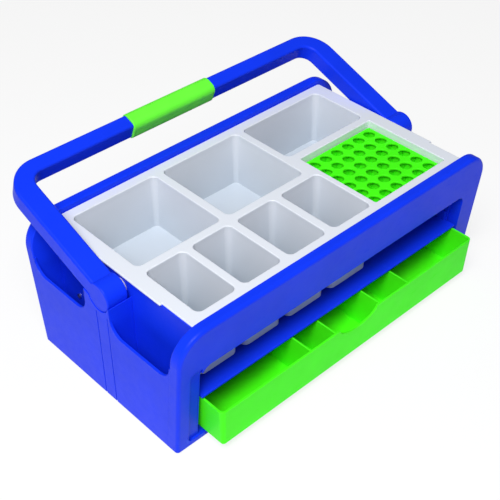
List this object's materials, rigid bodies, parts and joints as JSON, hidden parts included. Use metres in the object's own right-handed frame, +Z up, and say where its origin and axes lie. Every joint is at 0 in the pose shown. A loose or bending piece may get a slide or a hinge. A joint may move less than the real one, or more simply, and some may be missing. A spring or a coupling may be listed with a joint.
{
  "type": "blood tube drawer organizer",
  "caption": "Leaning-sided carrier with a lift-out insert of wells and a tube rack, a shallow divided drawer under an open shelf, and a swinging carrying handle.",
  "frame": {"origin": "middle of the underside of the centre pad, on the table", "axes": "+X to the right along the length as seen from the drawer's side, +Y to the rear away from the drawer's front, +Z up"},
  "size_m": [0.472, 0.3141, 0.2144],
  "materials": {
    "body_blue": "injection-moulded polypropylene, satin gloss",
    "tray_green": "injection-moulded polypropylene, bright green",
    "grip_green": "soft-touch moulded grip, bright green",
    "insert_white": "vacuum-formed polystyrene sheet, white",
    "pad_rubber": "die-cut rubber pad",
    "screw_steel": "zinc-plated thread-forming screw",
    "pin_steel": "turned stainless pin",
    "washer_nylon": "moulded nylon"
  },
  "bodies": {
    "carrier": {"front_panel": "body_blue", "rear_panel": "body_blue", "left_end_shell": "body_blue", "right_end_shell": "body_blue", "left_inner_wall": "body_blue", "right_inner_wall": "body_blue", "shelf_deck": "body_blue", "bottom_pan": "body_blue", "drawer_rail_left": "body_blue", "drawer_rail_right": "body_blue", "drawer_stop_left": "body_blue", "drawer_stop_right": "body_blue", "anti_slip_pads": "pad_rubber", "pan_screws": "screw_steel", "shelf_screws": "screw_steel", "pivot_pin_left": "pin_steel", "pivot_pin_right": "pin_steel", "pivot_washer_left": "washer_nylon", "pivot_washer_right": "washer_nylon"},
    "handle": {"handle_bail": "body_blue", "pivot_bush_left": "washer_nylon", "pivot_bush_right": "washer_nylon", "grip_upper_half": "grip_green", "grip_lower_half": "grip_green", "grip_screws": "screw_steel"},
    "drawer": {"drawer_tub": "tray_green", "drawer_divider_1": "tray_green", "drawer_divider_2": "tray_green", "drawer_divider_3": "tray_green", "drawer_divider_4": "tray_green"},
    "insert": {"insert_tray": "insert_white"},
    "rack": {"rack_top_plate": "tray_green", "rack_slats_long": "tray_green", "rack_slats_cross": "tray_green"}
  },
  "joints": [
    {"name": "handle_swing", "type": "hinge", "parent": "carrier", "child": "handle", "pos_m": [0, -0.003, 0.142], "axis": [1, 0, 0], "range_deg": [0, 138.6]},
    {"name": "drawer_slide", "type": "slide", "parent": "carrier", "child": "drawer", "axis": [0, -1, 0], "range_m": [-0.0275, 0.11]},
    {"name": "insert_lift", "type": "slide", "parent": "carrier", "child": "insert", "axis": [0, 0, 1], "range_m": [0, 0.1]},
    {"name": "rack_lift", "type": "slide", "parent": "insert", "child": "rack", "axis": [0, 0, 1], "range_m": [0, 0.07]}
  ]
}
